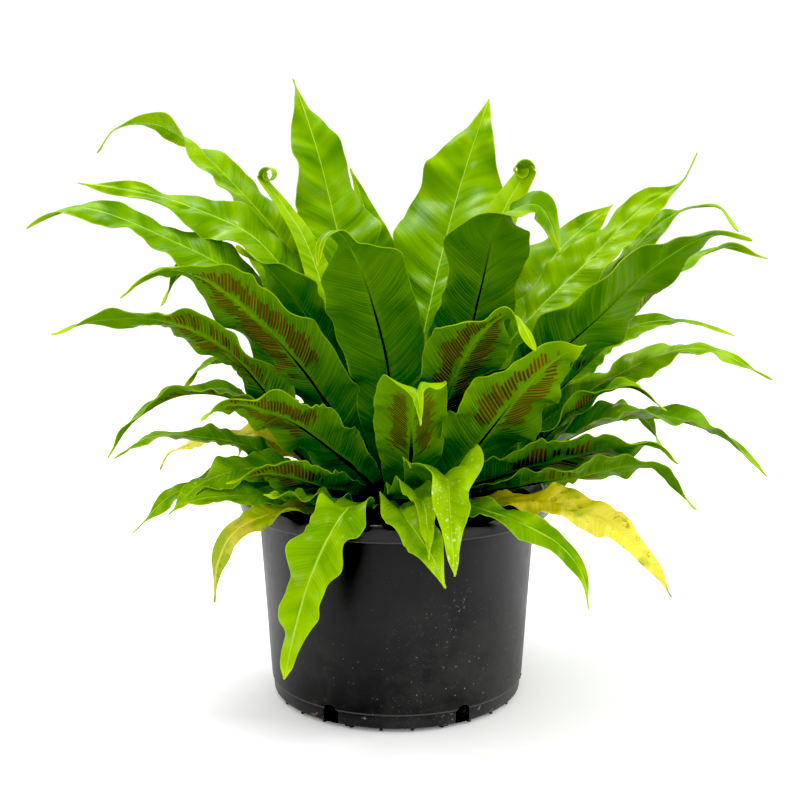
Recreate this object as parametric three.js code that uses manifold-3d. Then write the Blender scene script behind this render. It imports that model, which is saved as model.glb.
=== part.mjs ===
// A bird's nest fern in a round nursery pot: pot, soil, crown and every frond as a solid of its own.
// Millimetres, +Z up. The origin is the middle of the pot's foot on the floor; the photo looks along +Y.
import * as THREE from "three";
import { mergeVertices } from "three/addons/utils/BufferGeometryUtils.js";
import Module from "manifold-3d";

// Pot
const POT_HEIGHT = 201;
const RIM_RADIUS = 150;
const RIM_BAND = 17;
const WALL_TOP_RADIUS = 132;
const BASE_RADIUS = 120.5;
const WALL = 3;
const FOOT_GAP = 3;
const BASE_BEVEL = { start: 5, end: 1.5, rise: 1.2 };
const STEP_HEIGHT = 17;
const STEP_DEPTH = 1;
const STEP_INSET = 1.2;
const RIM_LIP = { inset: 4, depth: 4, nose: 1, noseRise: 2 };
const RIM_ROLL = { height: 4, outer: 2.5, inner: 8, mouth: 11, mouthDrop: 3 };
const FLOOR_THICKNESS = 4;
const POT_SEGMENTS = 36;
const DRAIN_COUNT = 6;
const DRAIN_FIRST_DEG = 30;
const DRAIN_WIDTH = 14;
const DRAIN_HEIGHT = 17;
const DRAIN_DROP = 3;
const DRAIN_CUT = 9;
const DRAIN_SEGMENTS = 12;
const FOOT_COUNT = 8;
const FOOT_SIZE = [14, 9];
const FOOT_INSET = 15;
const FOOT_SINK = 1;
const PAD_RADIUS = 12;
const PAD_SEGMENTS = 10;

// Soil and crown
const CLEARANCE = 0.3;
const SOIL_GAP = 0.6;
const SOIL_TOP = 184;
const SOIL_FLAT_RADIUS = 86;
const SOIL_SLOPE = 3;
const CROWN_RADIUS = 66;
const CROWN_HEIGHT = 30;
const CROWN_SEGMENTS = 18;
const CROWN_RINGS = 4;
const ROOT_DEPTH = 8;
const SOCKET_LENGTH = 34;
const SOCKET_GAP = 0.6;
const SOCKET_STATION = 0.06;

// Blade
const BLADE_HALF_THICKNESS = 0.4;
const RIB_AT_BASE = 2.4;
const RIB_AT_TIP = 0.3;
const RIB_FADE = 1.2;
const STALK_WIDTH = 0.14;
const TIP_HALF_WIDTH = 0.7;
const WIDEST_AT = 0.52;
const WIDENING = 0.68;
const TAPER = 1.4;
const FOLD_REACH = 0.1;
const COIL_NARROWING = 0.75;
const COIL_STALK = 0.25;
const ARCH = 0.12;
const RUFFLE_START = 0.1;
const RUFFLE_RAMP = 0.3;
const RUFFLE_FADE = 0.3;
const RUFFLE_OFFSET = 0.35;
const COLUMNS = [-1, -0.5, 0, 0.5, 1];
const CELLS = 9;
const STEM_CELLS = 8;
const COIL_CELLS = 13;
const COIL_START = 0.82;
const COIL_STEPS = 12;
const COIL_TIGHTENING = 0.5;
const SLOPE_STEP = [0.004, 0.1];

// Colour and roughness
const POT_LOOK = [0x232427, 0.45];
const SOIL_LOOK = [0x2e2118, 0.95];
const CROWN_LOOK = [0x33271a, 0.95];
const GREEN_LOOK = [0x5f9a1c, 0.4];
const OLD_LOOK = [0xc9c23a, 0.4];

// Fronds, by hand from the photo:
// at = [distance of the root from the axis, azimuth of the root in degrees],
// face = azimuth that the blade spreads about, where it isn't the root's own,
// width = measure across the blade at its widest, widest = share of the length where that is,
// taper = how fast it narrows from there,
// fold = [share of the length, share of the width left] where the blade narrows to a tip that hangs over,
// roll = degrees about the midrib, and cup = degrees that the two halves rise, each as values met at even
// steps from root to tip, cells = steps along the blade,
// wave = [height of the ruffle, number of ruffles], coil = [radius, turns] of a curled young tip,
// kind "old" = a yellowed frond,
// via = [x, y, z] points that the midrib passes through, from the root outwards.
const FRONDS = [
  // left side, seen from the front, from the top down
  { at: [22, 144], face: 154, width: 70, taper: 1.9, roll: [0, -12, -20, -20, 30, 50],
    wave: [10, 4.6], cells: 13,
    via: [[-93, 90, 391], [-170, 115, 489], [-232, 122, 539], [-281, 130, 539], [-304, 135, 514]] },
  { at: [22, 180], face: 162, width: 60, roll: [0, -22, -35], wave: [8, 4.3], cells: 13,
    via: [[-76, 40, 343], [-130, 50, 426], [-195, 60, 460], [-249, 66, 476], [-310, 70, 485]] },
  { at: [34, 169], face: 172, width: 64, roll: [0, -18, -28], cells: 13,
    via: [[-92, 14, 326], [-154, 24, 398], [-219, 25, 434], [-280, 25, 459], [-317, 25, 460],
      [-350, 25, 443]] },
  { at: [34, 146], face: 152, width: 46, roll: [-10, 0],
    via: [[-90, 62, 290], [-160, 90, 385], [-205, 98, 410], [-238, 100, 362]] },
  { at: [9, 226], face: 208, width: 81, roll: [35, 22], wave: [10, 4.3], cells: 11,
    via: [[-48, -24, 314], [-89, -42, 380], [-120, -50, 416], [-143, -54, 432]] },
  { at: [22, 216], width: 78, roll: [30, 32, 10], cells: 13,
    via: [[-83, -60, 320], [-150, -82, 393], [-200, -95, 414], [-238, -102, 390]] },
  { at: [34, 193], face: 197, width: 54, roll: [35, 30], cells: 13,
    via: [[-92, -32, 262], [-150, -46, 333], [-207, -58, 365], [-265, -62, 366], [-308, -65, 354]] },
  { at: [46, 158], width: 42, roll: [-10, 0],
    via: [[-90, 36, 248], [-150, 52, 305], [-190, 60, 308], [-210, 60, 285]] },
  { at: [46, 186], face: 188, width: 56, roll: [5, 2], cup: [24, 20], wave: [4, 4.3], cells: 12,
    via: [[-90, -4, 230], [-142, -18, 283], [-196, -27, 293], [-242, -33, 270], [-268, -35, 235]] },
  { at: [34, 236], face: 228, width: 62, roll: [35, 35], wave: [7, 5], cells: 12,
    via: [[-45, -58, 236], [-95, -100, 283], [-140, -130, 302], [-165, -145, 291]] },
  { at: [58, 178], face: 180, width: 40, roll: [-8, -8], wave: [4, 4.3], cells: 11,
    via: [[-83, -2, 208], [-139, -6, 238], [-186, -10, 249], [-233, -12, 249], [-267, -12, 229]] },
  { at: [58, 163], face: 165, width: 34, roll: [-10, -10], wave: [4, 4.3], kind: "old",
    via: [[-77, 26, 209], [-132, 38, 240], [-189, 48, 234], [-224, 56, 221], [-237, 60, 202]] },
  { at: [46, 206], width: 54, roll: [-8, -15], wave: [5, 4.3], cells: 11,
    via: [[-85, -38, 220], [-129, -58, 230], [-173, -75, 221], [-204, -90, 195]] },
  { at: [58, 193], width: 46, roll: [-15, -18], wave: [4, 4.3], cells: 11,
    via: [[-91, -22, 207], [-155, -34, 210], [-205, -45, 203], [-244, -50, 167]] },
  { at: [46, 228], width: 52, roll: [30, 32], wave: [4, 4.3], cells: 11,
    via: [[-65, -82, 218], [-110, -114, 238], [-146, -135, 234]] },
  { at: [58, 209], face: 212, width: 44, roll: [-10, -15], wave: [4, 4.3], cells: 11,
    via: [[-80, -55, 195], [-121, -76, 208], [-159, -92, 212], [-192, -100, 207]] },
  { at: [58, 226], face: 228, width: 26, roll: [0, -20], wave: [4, 4.3], cells: 12, kind: "old",
    via: [[-65, -80, 198], [-98, -114, 205], [-135, -136, 195], [-154, -136, 165], [-159, -130, 126]] },
  { at: [58, 256], face: 252, width: 44, taper: 1, wave: [6, 5.2], cells: 13,
    via: [[-35, -105, 206], [-45, -146, 210], [-63, -168, 183], [-80, -174, 138], [-96, -170, 71]] },
  // middle
  { at: [22, 108], face: 115, width: 78, roll: [10, 5], widest: 0.62, taper: 1.2,
    wave: [9, 4.3], cells: 13,
    via: [[-36, 60, 342], [-61, 112, 439], [-82, 146, 517], [-107, 165, 589]] },
  { at: [22, 72], face: 95, width: 60, cells: 11,
    via: [[1, 86, 324], [-20, 138, 403], [-35, 162, 461], [-49, 174, 498]] },
  { at: [9, 100], face: 65, width: 106, roll: [0, 10], widest: 0.6, taper: 1.2,
    wave: [10, 4.3], cells: 13,
    via: [[27, 52, 343], [50, 102, 433], [71, 136, 502], [94, 155, 568]] },
  { at: [34, 64], width: 56,
    via: [[50, 78, 312], [83, 130, 381], [106, 156, 441]] },
  { at: [9, 160], width: 36, roll: [-40, -35, -20, 0], coil: [8, 1.2],
    via: [[-58, 24, 347], [-87, 62, 424], [-111, 84, 461], [-132, 97, 487]] },
  { at: [9, 345], face: 20, width: 58, roll: [60, 55, 45, 15], coil: [7, 1.15],
    via: [[61, 15, 348], [87, 34, 426], [105, 45, 464], [123, 50, 494]] },
  { at: [22, 252], face: 266, width: 80, roll: [0, 5], widest: 0.6, taper: 0.8,
    fold: [0.77, 0.3], cells: 13,
    via: [[-6, -66, 310], [-22, -88, 387], [-37, -104, 429], [-50, -119, 448], [-62, -131, 441],
      [-66, -135, 420]] },
  { at: [22, 306], face: 325, width: 82, roll: [-20, -26, -30, -32, -34, 20, 55],
    widest: 0.72, taper: 0.8, fold: [0.79, 0.4], cells: 13,
    via: [[55, -38, 310], [76, -52, 397], [86, -60, 444], [98, -64, 461], [123, -62, 468],
      [137, -58, 450], [145, -55, 426]] },
  { at: [34, 295], face: 297, width: 72, roll: [-14, -14], widest: 0.66, taper: 0.8,
    fold: [0.74, 0.32], cells: 12,
    via: [[40, -67, 285], [62, -92, 341], [84, -112, 371], [101, -126, 377], [117, -138, 349]] },
  { at: [34, 272], face: 275, width: 76, cup: [20, 26, 34, 30], widest: 0.58, taper: 0.8,
    fold: [0.82, 0.2], cells: 12,
    via: [[12, -78, 238], [13, -118, 290], [17, -154, 318], [20, -178, 293]] },
  { at: [34, 318], face: 322, width: 94, roll: [-35, -20], widest: 0.58, taper: 1.1, cells: 13,
    via: [[62, -56, 238], [106, -98, 304], [136, -114, 338], [162, -120, 352]] },
  { at: [46, 291], face: 287, width: 72, cup: [22, 38, 14], widest: 0.48, taper: 1.2,
    fold: [0.58, 0.6], cells: 12,
    via: [[33, -88, 221], [43, -138, 239], [45, -176, 212], [48, -196, 170]] },
  { at: [46, 263], face: 270, width: 44, roll: [0, -12], cup: [22, 38, 14], widest: 0.48,
    fold: [0.6, 0.65], cells: 11,
    via: [[7, -98, 211], [22, -142, 220], [26, -170, 202], [27, -184, 180]] },
  { at: [58, 279], face: 277, width: 46, cup: [22, 30, 8], cells: 11,
    via: [[3, -105, 205], [9, -150, 205], [28, -176, 184], [41, -184, 156]] },
  { at: [34, 42], width: 90, roll: [10, 20], taper: 1.1, wave: [8, 4.3], cells: 13,
    via: [[80, 73, 283], [132, 126, 363], [169, 155, 414], [227, 180, 460]] },
  // right side
  { at: [22, 36], face: 22, width: 56, roll: [30, 28], taper: 1, fold: [0.88, 0.3],
    wave: [8, 4.3], cells: 13,
    via: [[112, 58, 332], [193, 86, 411], [243, 92, 460], [279, 91, 483], [295, 90, 514]] },
  { at: [34, 23], width: 44, roll: [10, 10], cells: 12,
    via: [[135, 60, 290], [209, 93, 385], [266, 108, 445], [318, 112, 463], [343, 108, 436]] },
  { at: [22, 353], face: 342, width: 90, roll: [-25, -38], wave: [8, 4.3], cells: 13,
    via: [[108, -44, 300], [172, -85, 367], [220, -96, 415], [265, -108, 444], [302, -112, 440]] },
  { at: [34, 4], face: 356, width: 58, roll: [-10, -5], cells: 13,
    via: [[121, -2, 266], [200, -4, 341], [253, -20, 402], [299, -27, 429], [337, -30, 419]] },
  { at: [46, 14], face: 15, width: 46, roll: [18, 16], wave: [4, 4.3], cells: 12,
    via: [[120, 38, 250], [215, 65, 336], [285, 72, 350], [335, 75, 335]] },
  { at: [46, 357], face: 0, width: 58, roll: [12, 14], wave: [5, 4.3], cells: 13,
    via: [[110, 4, 240], [210, 6, 306], [285, 7, 331], [356, 3, 302]] },
  { at: [46, 339], face: 345, width: 46, roll: [-5, 0], cup: [26, 22], wave: [4, 4.3], cells: 11,
    via: [[108, -33, 231], [172, -48, 289], [211, -54, 304], [245, -58, 283]] },
  { at: [58, 352], face: 354, width: 66, roll: [0, 4], cup: [26, 20], wave: [5, 4.3], cells: 13,
    via: [[118, -20, 226], [187, -38, 267], [245, -48, 274], [298, -60, 258], [335, -70, 225]] },
  { at: [46, 321], face: 328, width: 68, roll: [-18, -34, -25], wave: [4, 4.3], cells: 12,
    via: [[100, -62, 226], [178, -106, 257], [220, -130, 266], [240, -140, 252]] },
  { at: [58, 337], face: 335, width: 52, roll: [-18, -34], wave: [4, 4.3], cells: 12,
    via: [[95, -58, 211], [160, -98, 232], [220, -125, 247], [256, -146, 213]] },
  { at: [58, 323], face: 318, width: 38, roll: [10, 30], wave: [5, 4.3], cells: 12, kind: "old",
    via: [[82, -80, 203], [136, -120, 213], [180, -160, 204], [210, -190, 180], [225, -205, 155]] },
  { at: [58, 304], face: 305, width: 26, roll: [10, 25], wave: [4, 4.3], cells: 12,
    via: [[57, -97, 205], [90, -138, 206], [136, -145, 185], [160, -145, 155], [166, -146, 125]] },
  // far side
  { at: [46, 32], face: 15, width: 48,
    via: [[110, 35, 218], [165, 48, 250], [215, 58, 262], [250, 70, 250], [270, 82, 215]] },
  { at: [58, 44], width: 52,
    via: [[85, 85, 212], [125, 125, 234], [160, 160, 225], [180, 185, 185]] },
  { at: [58, 72], width: 52,
    via: [[32, 120, 212], [44, 170, 230], [54, 215, 215], [62, 245, 175]] },
  { at: [58, 102], width: 52,
    via: [[-32, 122, 212], [-48, 172, 230], [-60, 215, 215], [-70, 240, 178]] },
  { at: [58, 134], width: 52,
    via: [[-85, 90, 212], [-125, 132, 234], [-155, 165, 222], [-175, 190, 185]] },
  { at: [46, 62], width: 60,
    via: [[60, 98, 250], [100, 168, 315], [130, 220, 345], [155, 265, 335]] },
  { at: [46, 90], width: 60,
    via: [[0, 115, 252], [0, 190, 320], [-2, 250, 345], [-5, 290, 330]] },
  { at: [46, 118], width: 60,
    via: [[-58, 102, 250], [-98, 168, 315], [-125, 215, 340], [-150, 255, 325]] },
  { at: [34, 79], face: 76, width: 64,
    via: [[24, 98, 285], [42, 168, 370], [58, 218, 420], [68, 252, 432]] },
  { at: [34, 102], face: 106, width: 64,
    via: [[-28, 100, 285], [-48, 168, 370], [-66, 212, 415], [-80, 244, 425]] },
  { at: [58, 241], face: 234, width: 24,
    via: [[-56, -90, 209], [-88, -116, 218], [-114, -134, 224]] },
];

const DEFAULT_ROLL = [0, 0];
const DEFAULT_CUP = [22, 4];
const DEFAULT_WAVE = [7, 4.3];
const PHASE_STEP = 0.37;

const wasm = await Module();
wasm.setup();

function toSolid(geometry) {
  const bare = geometry.clone();
  bare.deleteAttribute("normal");
  bare.deleteAttribute("uv");
  const merged = mergeVertices(bare, 1e-4);
  return new wasm.Manifold(
    new wasm.Mesh({
      numProp: 3,
      vertProperties: merged.attributes.position.array,
      triVerts: new Uint32Array(merged.index.array),
    }),
  );
}

function toGeometry(solid) {
  const mesh = solid.getMesh();
  const geometry = new THREE.BufferGeometry();
  geometry.setAttribute("position", new THREE.Float32BufferAttribute(mesh.vertProperties, mesh.numProp));
  geometry.setIndex(new THREE.Uint32BufferAttribute(mesh.triVerts, 1));
  const flat = geometry.toNonIndexed();
  flat.computeVertexNormals();
  return flat;
}

// Lathe about +Z from [radius, height] points.
function turned(profile, segments) {
  const points = profile.map(([r, z]) => new THREE.Vector2(r, z));
  return new THREE.LatheGeometry(points, segments).rotateX(Math.PI / 2);
}

const smooth = (x) => {
  const c = THREE.MathUtils.clamp(x, 0, 1);
  return c * c * (3 - 2 * c);
};

function wallRadius(z) {
  const rise = (z - FOOT_GAP) / (POT_HEIGHT - RIM_BAND - FOOT_GAP);
  return BASE_RADIUS + (WALL_TOP_RADIUS - BASE_RADIUS) * rise;
}

function pot() {
  const bandBottom = POT_HEIGHT - RIM_BAND;
  const profile = [
    [0, FOOT_GAP],
    [BASE_RADIUS - BASE_BEVEL.start, FOOT_GAP],
    [BASE_RADIUS - BASE_BEVEL.end, FOOT_GAP + BASE_BEVEL.rise],
    [wallRadius(STEP_HEIGHT) - STEP_INSET, STEP_HEIGHT],
    [wallRadius(STEP_HEIGHT), STEP_HEIGHT + STEP_DEPTH],
    [WALL_TOP_RADIUS, bandBottom + RIM_LIP.depth],
    [RIM_RADIUS - RIM_LIP.inset, bandBottom + RIM_LIP.depth],
    [RIM_RADIUS - RIM_LIP.nose, bandBottom],
    [RIM_RADIUS, bandBottom + RIM_LIP.noseRise],
    [RIM_RADIUS, POT_HEIGHT - RIM_ROLL.height],
    [RIM_RADIUS - RIM_ROLL.outer, POT_HEIGHT],
    [RIM_RADIUS - RIM_ROLL.inner, POT_HEIGHT],
    [RIM_RADIUS - RIM_ROLL.mouth, POT_HEIGHT - RIM_ROLL.mouthDrop],
    [WALL_TOP_RADIUS - WALL, bandBottom + WALL],
    [wallRadius(FOOT_GAP) - WALL, FOOT_GAP + FLOOR_THICKNESS],
    [0, FOOT_GAP + FLOOR_THICKNESS],
  ];
  let body = toSolid(turned(profile, POT_SEGMENTS));
  const drainFoot = FOOT_GAP + FLOOR_THICKNESS - DRAIN_DROP;
  const half = DRAIN_WIDTH / 2;
  const upright = DRAIN_HEIGHT - half;
  for (let i = 0; i < DRAIN_COUNT; i++) {
    const azimuth = THREE.MathUtils.degToRad(270 + DRAIN_FIRST_DEG + (i * 360) / DRAIN_COUNT);
    const slot = new THREE.BoxGeometry(DRAIN_CUT, DRAIN_WIDTH, upright);
    slot.translate(BASE_RADIUS, 0, drainFoot + upright / 2);
    const arch = new THREE.CylinderGeometry(half, half, DRAIN_CUT, DRAIN_SEGMENTS);
    arch.rotateZ(Math.PI / 2).translate(BASE_RADIUS, 0, drainFoot + upright);
    body = body.subtract(toSolid(slot.rotateZ(azimuth))).subtract(toSolid(arch.rotateZ(azimuth)));
  }
  const footHeight = FOOT_GAP + FOOT_SINK;
  for (let i = 0; i < FOOT_COUNT; i++) {
    const azimuth = (2 * Math.PI * (i + 0.5)) / FOOT_COUNT;
    const foot = new THREE.BoxGeometry(...FOOT_SIZE, footHeight);
    foot.translate(BASE_RADIUS - FOOT_INSET, 0, footHeight / 2);
    body = body.add(toSolid(foot.rotateZ(azimuth)));
  }
  const pad = new THREE.CylinderGeometry(PAD_RADIUS, PAD_RADIUS, footHeight, PAD_SEGMENTS);
  body = body.add(toSolid(pad.rotateX(Math.PI / 2).translate(0, 0, footHeight / 2)));
  return toGeometry(body);
}

function soil() {
  const low = FOOT_GAP + FLOOR_THICKNESS + CLEARANCE;
  const inset = WALL + SOIL_GAP;
  const profile = [
    [0, low],
    [wallRadius(low) - inset, low],
    [wallRadius(SOIL_TOP) - inset, SOIL_TOP - SOIL_SLOPE],
    [SOIL_FLAT_RADIUS, SOIL_TOP],
    [0, SOIL_TOP],
  ];
  return toGeometry(toSolid(turned(profile, POT_SEGMENTS)));
}

const crownTop = (r) => SOIL_TOP + CLEARANCE + CROWN_HEIGHT * Math.sqrt(1 - (r / CROWN_RADIUS) ** 2);

function crown(fronds) {
  const profile = [[0, SOIL_TOP + CLEARANCE]];
  for (let i = 0; i <= CROWN_RINGS; i++) {
    const angle = (i / CROWN_RINGS) * (Math.PI / 2);
    const out = i === CROWN_RINGS ? 0 : CROWN_RADIUS * Math.cos(angle);
    profile.push([out, SOIL_TOP + CLEARANCE + CROWN_HEIGHT * Math.sin(angle)]);
  }
  let body = toSolid(turned(profile, CROWN_SEGMENTS));
  for (const frond of fronds) body = body.subtract(toSolid(socket(frond)));
  return toGeometry(body);
}

// The midrib: a smooth curve from the root through the frond's points, with a coil at a young one's end.
function midrib(frond) {
  const [ring, azimuth] = frond.at;
  const a = THREE.MathUtils.degToRad(azimuth);
  const root = new THREE.Vector3(ring * Math.cos(a), ring * Math.sin(a), crownTop(ring) - ROOT_DEPTH);
  const points = [root, ...frond.via.map((p) => new THREE.Vector3(...p))];
  if (frond.coil) {
    const [radius, turns] = frond.coil;
    const end = points.at(-1);
    const forward = end.clone().sub(points.at(-2)).normalize();
    const face = THREE.MathUtils.degToRad(frond.face ?? azimuth);
    const side = new THREE.Vector3(-Math.sin(face), Math.cos(face), 0);
    const inward = forward.clone().cross(side).normalize();
    for (let i = 1; i <= COIL_STEPS; i++) {
      const angle = (2 * Math.PI * turns * i) / COIL_STEPS;
      const r = radius * (1 - (COIL_TIGHTENING * i) / COIL_STEPS);
      const step = inward.clone().multiplyScalar(radius - r * Math.cos(angle));
      points.push(end.clone().add(step).addScaledVector(forward, r * Math.sin(angle)));
    }
  }
  return new THREE.CatmullRomCurve3(points, false, "catmullrom", 0.5);
}

function stationList(frond) {
  const cells = frond.coil ? STEM_CELLS : (frond.cells ?? CELLS);
  const end = frond.coil ? COIL_START : 1;
  const list = Array.from({ length: cells + 1 }, (_, i) => (end * i) / cells);
  for (let i = 1; frond.coil && i <= COIL_CELLS; i++) list.push(end + ((1 - end) * i) / COIL_CELLS);
  return list;
}

function halfWidth(frond, t) {
  const widest = frond.widest ?? WIDEST_AT;
  const rise = STALK_WIDTH + (1 - STALK_WIDTH) * smooth(t / widest) ** WIDENING;
  const s = THREE.MathUtils.clamp((t - widest) / (1 - widest), 0, 1);
  let fall = frond.coil ? 1 - COIL_NARROWING * s : (1 - s * s) ** (frond.taper ?? TAPER);
  if (frond.fold) {
    const [bend, left] = frond.fold;
    fall *= 1 - (1 - left) * smooth((t - bend) / FOLD_REACH + 0.5);
  }
  const least = frond.coil ? COIL_STALK : STALK_WIDTH;
  return Math.max(TIP_HALF_WIDTH, (frond.width / 2) * Math.max(rise, least) * fall);
}

// Degrees at t, from values that stand at even steps along the blade.
function degreesAt(given, t) {
  const place = t * (given.length - 1);
  const i = Math.min(Math.floor(place), given.length - 2);
  return THREE.MathUtils.lerp(given[i], given[i + 1], place - i);
}

// Point of the blade's middle surface: t runs along the midrib, u from edge to edge.
function bladePoint(frond, t, u) {
  const a = THREE.MathUtils.degToRad(frond.face ?? frond.at[1]);
  const centre = frond.curve.getPointAt(t);
  const along = frond.curve.getTangentAt(t);
  const side = new THREE.Vector3(-Math.sin(a), Math.cos(a), 0);
  side.addScaledVector(along, -side.dot(along)).normalize();
  const up = along.clone().cross(side);
  const roll = THREE.MathUtils.degToRad(degreesAt(frond.roll ?? DEFAULT_ROLL, t));
  side.applyAxisAngle(along, roll);
  up.applyAxisAngle(along, roll);
  const cup = THREE.MathUtils.degToRad(degreesAt(frond.cup ?? DEFAULT_CUP, t));
  const h = halfWidth(frond, t);
  const [amount, count, phase] = frond.wave;
  const ease = frond.coil ? 0 : smooth((t - RUFFLE_START) / RUFFLE_RAMP) * (1 - t) ** RUFFLE_FADE;
  const turn = count * t + phase + (u > 0 ? RUFFLE_OFFSET : 0);
  const ruffle = amount * ease * u * u * Math.sin(2 * Math.PI * turn);
  const lift = h * (Math.sin(cup) * Math.abs(u) - ARCH * u * u) + ruffle;
  return centre.addScaledVector(side, h * u * Math.cos(cup)).addScaledVector(up, lift);
}

function bladeNormal(frond, t, u) {
  const [dt, du] = SLOPE_STEP;
  const t0 = Math.max(0, t - dt);
  const t1 = Math.min(1, t + dt);
  const u0 = Math.max(-1, u - du);
  const u1 = Math.min(1, u + du);
  const along = bladePoint(frond, t1, u).sub(bladePoint(frond, t0, u));
  const across = bladePoint(frond, t, u1).sub(bladePoint(frond, t, u0));
  return along.cross(across).normalize();
}

// Two skins split into the same triangles and closed all round, with the midrib raised on the underside.
function frondGeometry(frond) {
  const stations = stationList(frond);
  const wide = COLUMNS.length;
  const position = [];
  const root = frond.curve.getPointAt(0);
  for (const t of stations) {
    for (const u of COLUMNS) {
      const p = bladePoint(frond, t, u).sub(root);
      const n = bladeNormal(frond, t, u);
      const rib = u === 0 ? THREE.MathUtils.lerp(RIB_AT_BASE, RIB_AT_TIP, smooth(t * RIB_FADE)) : 0;
      const top = p.clone().addScaledVector(n, BLADE_HALF_THICKNESS);
      const under = p.clone().addScaledVector(n, -BLADE_HALF_THICKNESS - rib);
      position.push(...top.toArray(), ...under.toArray());
    }
  }
  const topAt = (i, j) => 2 * (i * wide + j);
  const underAt = (i, j) => topAt(i, j) + 1;
  const index = [];
  const quad = (a, b, c, d) => index.push(a, b, c, a, c, d);
  const last = stations.length - 1;
  for (let i = 0; i < last; i++) {
    for (let j = 0; j < wide - 1; j++) {
      quad(topAt(i, j), topAt(i + 1, j), topAt(i + 1, j + 1), topAt(i, j + 1));
      index.push(underAt(i, j), underAt(i + 1, j + 1), underAt(i + 1, j));
      index.push(underAt(i, j), underAt(i, j + 1), underAt(i + 1, j + 1));
    }
    quad(topAt(i, 0), underAt(i, 0), underAt(i + 1, 0), topAt(i + 1, 0));
    quad(topAt(i, wide - 1), topAt(i + 1, wide - 1), underAt(i + 1, wide - 1), underAt(i, wide - 1));
  }
  for (let j = 0; j < wide - 1; j++) {
    quad(topAt(0, j), topAt(0, j + 1), underAt(0, j + 1), underAt(0, j));
    quad(topAt(last, j), underAt(last, j), underAt(last, j + 1), topAt(last, j + 1));
  }
  const geometry = new THREE.BufferGeometry();
  geometry.setAttribute("position", new THREE.Float32BufferAttribute(position, 3));
  geometry.setIndex(index);
  const flat = geometry.toNonIndexed();
  flat.computeVertexNormals();
  return flat;
}

// The slot in the crown that a frond's stalk stands in, a little wider than the stalk.
function socket(frond) {
  const root = frond.curve.getPointAt(0);
  const along = frond.curve.getTangentAt(0);
  const across = bladePoint(frond, 0, 1).sub(bladePoint(frond, 0, -1)).normalize();
  const up = along.clone().cross(across);
  const half = halfWidth(frond, SOCKET_STATION);
  const wide = 2 * half + 2 * SOCKET_GAP;
  const rise = half * Math.sin(THREE.MathUtils.degToRad((frond.cup ?? DEFAULT_CUP)[0]));
  const low = -BLADE_HALF_THICKNESS - RIB_AT_BASE - SOCKET_GAP;
  const high = rise + BLADE_HALF_THICKNESS + SOCKET_GAP;
  const slot = new THREE.BoxGeometry(wide, high - low, SOCKET_LENGTH);
  slot.translate(0, (high + low) / 2, SOCKET_LENGTH / 2 - CLEARANCE);
  const frame = new THREE.Matrix4().makeBasis(across, up, along).setPosition(root);
  return slot.applyMatrix4(frame);
}

const group = new THREE.Group();

function place(name, geometry, [color, roughness], at) {
  const material = new THREE.MeshStandardMaterial({ color, roughness, metalness: 0 });
  const mesh = new THREE.Mesh(geometry, material);
  mesh.name = name;
  if (at) mesh.position.copy(at);
  group.add(mesh);
}

FRONDS.forEach((frond, i) => {
  frond.name = `frond_${String(i + 1).padStart(2, "0")}`;
  frond.curve = midrib(frond);
  frond.wave = [...(frond.wave ?? DEFAULT_WAVE), i * PHASE_STEP];
});

place("pot", pot(), POT_LOOK);
place("soil", soil(), SOIL_LOOK);
place("crown", crown(FRONDS), CROWN_LOOK);
for (const frond of FRONDS) {
  const look = frond.kind === "old" ? OLD_LOOK : GREEN_LOOK;
  place(frond.name, frondGeometry(frond), look, frond.curve.getPointAt(0));
}

export default group;
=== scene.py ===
import bisect
import math
import random

import bmesh
import bpy
from mathutils import Matrix, Vector, noise


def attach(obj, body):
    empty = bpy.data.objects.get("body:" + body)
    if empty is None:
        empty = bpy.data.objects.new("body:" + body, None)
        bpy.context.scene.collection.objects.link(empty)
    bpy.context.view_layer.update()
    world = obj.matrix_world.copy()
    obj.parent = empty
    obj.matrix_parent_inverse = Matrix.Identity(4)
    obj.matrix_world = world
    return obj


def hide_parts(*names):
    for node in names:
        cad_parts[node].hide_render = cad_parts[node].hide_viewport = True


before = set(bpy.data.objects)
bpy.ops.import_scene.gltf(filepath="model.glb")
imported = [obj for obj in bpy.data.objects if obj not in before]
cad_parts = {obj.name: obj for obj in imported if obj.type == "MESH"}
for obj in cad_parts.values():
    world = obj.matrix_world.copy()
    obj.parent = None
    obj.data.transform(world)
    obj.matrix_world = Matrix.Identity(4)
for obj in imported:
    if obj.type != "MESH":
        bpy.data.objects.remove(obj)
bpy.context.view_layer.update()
mm = 0.001


# The studio: a pale floor, soft light all round and the photo's viewpoint
studio = dict(
    eye=(0.003, -1.300, 0.510),  # the photo's viewpoint, in metres
    lookDown=9.9,  # degrees below level
    lens=62.7,
    sensor=36,
    farClip=40,
    floorSize=14.0,
    floorTone=(0.96, 0.96, 0.96, 1),
    floorGlow=0.08,
    skyTone=(1.0, 1.0, 1.0, 1),
    skyPower=1.06,
    blackPoint=0.031,  # light below this turns black, as in the photo
    lamps=[  # places and sizes in metres, power in watts
        dict(name="topLamp", at=(-0.45, 0.30, 2.1), size=0.8, power=32, aim=(0, 0, 0.35)),
        dict(name="leftLamp", at=(-1.7, 0.10, 0.58), size=1.1, power=5.6, aim=(0, 0, 0.15)),
        dict(name="frontLamp", at=(0.15, -2.1, 0.40), size=1.8, power=9, aim=(0, 0, 0.3)),
        dict(name="rightLamp", at=(1.7, -0.20, 0.58), size=1.1, power=19, aim=(0, 0, 0.15)),
    ],
)


def placed(name, data):  # an object for a mesh, a light or a camera
    made = bpy.data.objects.new(name, data)
    bpy.context.collection.objects.link(made)
    return made


def meshOf(name, bm):
    mesh = bpy.data.meshes.new(name)
    bm.to_mesh(mesh)
    bm.free()
    return mesh


def polar(r, angle, height):
    return Vector((r * math.cos(angle), r * math.sin(angle), height))


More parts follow.
